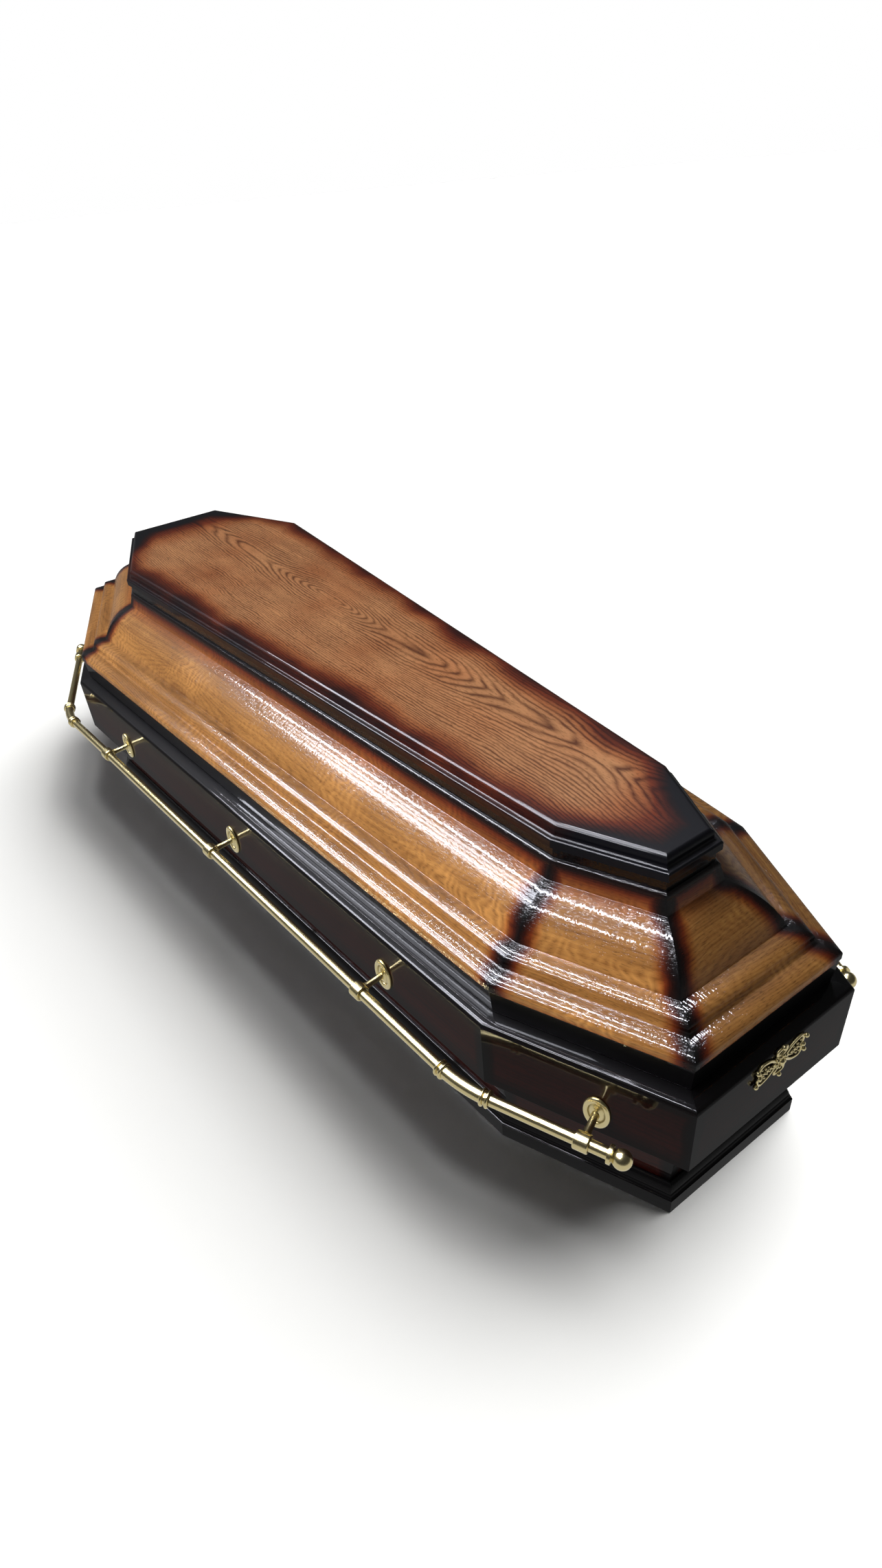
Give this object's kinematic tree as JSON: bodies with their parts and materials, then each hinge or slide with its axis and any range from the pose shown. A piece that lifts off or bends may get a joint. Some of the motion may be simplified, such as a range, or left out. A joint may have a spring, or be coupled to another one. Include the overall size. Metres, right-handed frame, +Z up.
{
  "type": "wooden coffin",
  "caption": "Lacquered wooden coffin, wide at the head and narrow at the foot, with mitred corners, a stepped moulded lid, gilt handle rails and an openwork end plaque.",
  "frame": {"origin": "centre of the overall box at the level that the coffin stands on", "axes": "+X towards the foot end, +Y towards the right side seen from the foot, +Z up"},
  "size_m": [2.0008, 0.8706, 0.507],
  "materials": {
    "lid_wood": "clear high-gloss lacquer over golden-brown wood, airbrushed dark at the mitres and edges",
    "top_wood": "clear high-gloss lacquer over reddish-brown ash, airbrushed dark at the border",
    "black_lacquer": "high-gloss black lacquer",
    "case_wood": "high-gloss lacquer over dark cherry stain, airbrushed black at the edges",
    "gilt_metal": "pale antique gold, satin, darker in its hollows"
  },
  "bodies": {
    "root": {"lid_board_foot_end": "lid_wood", "lid_board_foot_right_corner": "lid_wood", "lid_board_right_side": "lid_wood", "lid_board_head_right_corner": "lid_wood", "lid_board_head_end": "lid_wood", "lid_board_head_left_corner": "lid_wood", "lid_board_left_side": "lid_wood", "lid_board_foot_left_corner": "lid_wood", "lid_base_foot_end": "black_lacquer", "lid_base_foot_right_corner": "black_lacquer", "lid_base_right_side": "black_lacquer", "lid_base_head_right_corner": "black_lacquer", "lid_base_head_end": "black_lacquer", "lid_base_head_left_corner": "black_lacquer", "lid_base_left_side": "black_lacquer", "lid_base_foot_left_corner": "black_lacquer", "lid_top_board": "top_wood", "case_board_foot_end": "case_wood", "case_board_foot_right_corner": "case_wood", "case_board_right_side": "case_wood", "case_board_head_right_corner": "case_wood", "case_board_head_end": "case_wood", "case_board_head_left_corner": "case_wood", "case_board_left_side": "case_wood", "case_board_foot_left_corner": "case_wood", "case_floor": "case_wood", "plinth_foot_end": "black_lacquer", "plinth_foot_right_corner": "black_lacquer", "plinth_right_side": "black_lacquer", "plinth_head_right_corner": "black_lacquer", "plinth_head_end": "black_lacquer", "plinth_head_left_corner": "black_lacquer", "plinth_left_side": "black_lacquer", "plinth_foot_left_corner": "black_lacquer", "rail_tube_left_side": "gilt_metal", "rail_tube_left_foot_corner": "gilt_metal", "rail_tube_left_head_corner": "gilt_metal", "rail_elbow_left_foot": "gilt_metal", "rail_elbow_left_head": "gilt_metal", "rail_cap_left_foot": "gilt_metal", "rail_cap_left_head": "gilt_metal", "rail_bracket_left_side_1": "gilt_metal", "rail_bracket_left_side_2": "gilt_metal", "rail_bracket_left_side_3": "gilt_metal", "rail_bracket_left_foot_corner": "gilt_metal", "rail_bracket_left_head_corner": "gilt_metal", "rail_tube_right_side": "gilt_metal", "rail_tube_right_foot_corner": "gilt_metal", "rail_tube_right_head_corner": "gilt_metal", "rail_elbow_right_foot": "gilt_metal", "rail_elbow_right_head": "gilt_metal", "rail_cap_right_foot": "gilt_metal", "rail_cap_right_head": "gilt_metal", "rail_bracket_right_side_1": "gilt_metal", "rail_bracket_right_side_2": "gilt_metal", "rail_bracket_right_side_3": "gilt_metal", "rail_bracket_right_foot_corner": "gilt_metal", "rail_bracket_right_head_corner": "gilt_metal", "foot_end_plaque": "gilt_metal"}
  },
  "joints": []
}
